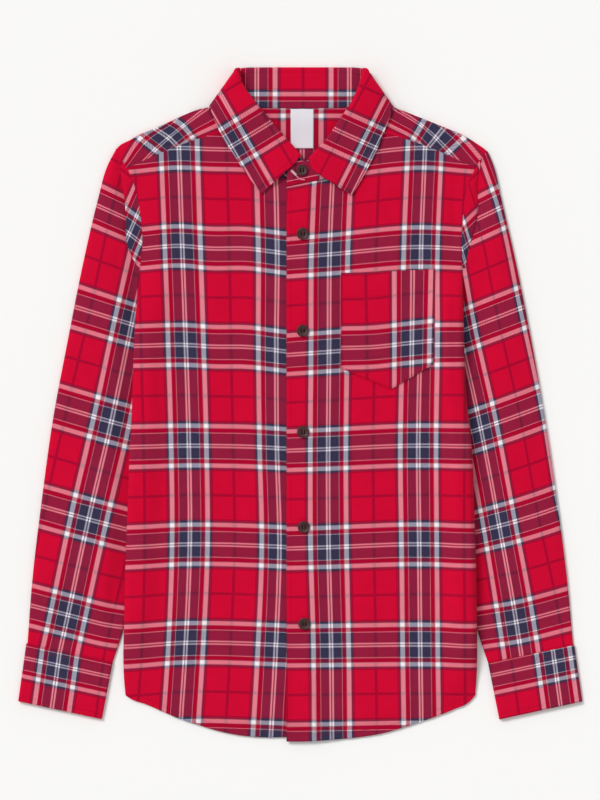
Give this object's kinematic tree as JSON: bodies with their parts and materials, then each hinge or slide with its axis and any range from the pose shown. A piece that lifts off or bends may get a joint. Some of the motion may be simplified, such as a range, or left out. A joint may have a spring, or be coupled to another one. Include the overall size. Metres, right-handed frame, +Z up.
{
  "type": "flannel shirt",
  "caption": "Long-sleeved plaid flannel shirt with a pointed collar, buttoned front and chest pocket, laid flat on its back.",
  "frame": {"origin": "on the table under the middle of the chest, on the underside of the back", "axes": "+X towards the wearer's left sleeve, +Y towards the collar, +Z up from the table"},
  "size_m": [0.5187, 0.6201, 0.0098],
  "materials": {
    "plaid_flannel": "soft brushed twill, red with navy and white plaid",
    "label_satin": "plain woven satin, bare",
    "button_brown": "dark brown, satin"
  },
  "bodies": {
    "root": {"back": "plaid_flannel", "yoke": "plaid_flannel", "front_right": "plaid_flannel", "front_left": "plaid_flannel", "sleeve_right": "plaid_flannel", "sleeve_left": "plaid_flannel", "cuff_right": "plaid_flannel", "cuff_left": "plaid_flannel", "collar_stand": "plaid_flannel", "collar_leaf": "plaid_flannel", "pocket": "plaid_flannel", "neck_label": "label_satin", "button_collar": "button_brown", "button_1": "button_brown", "button_2": "button_brown", "button_3": "button_brown", "button_4": "button_brown", "button_5": "button_brown"}
  },
  "joints": []
}
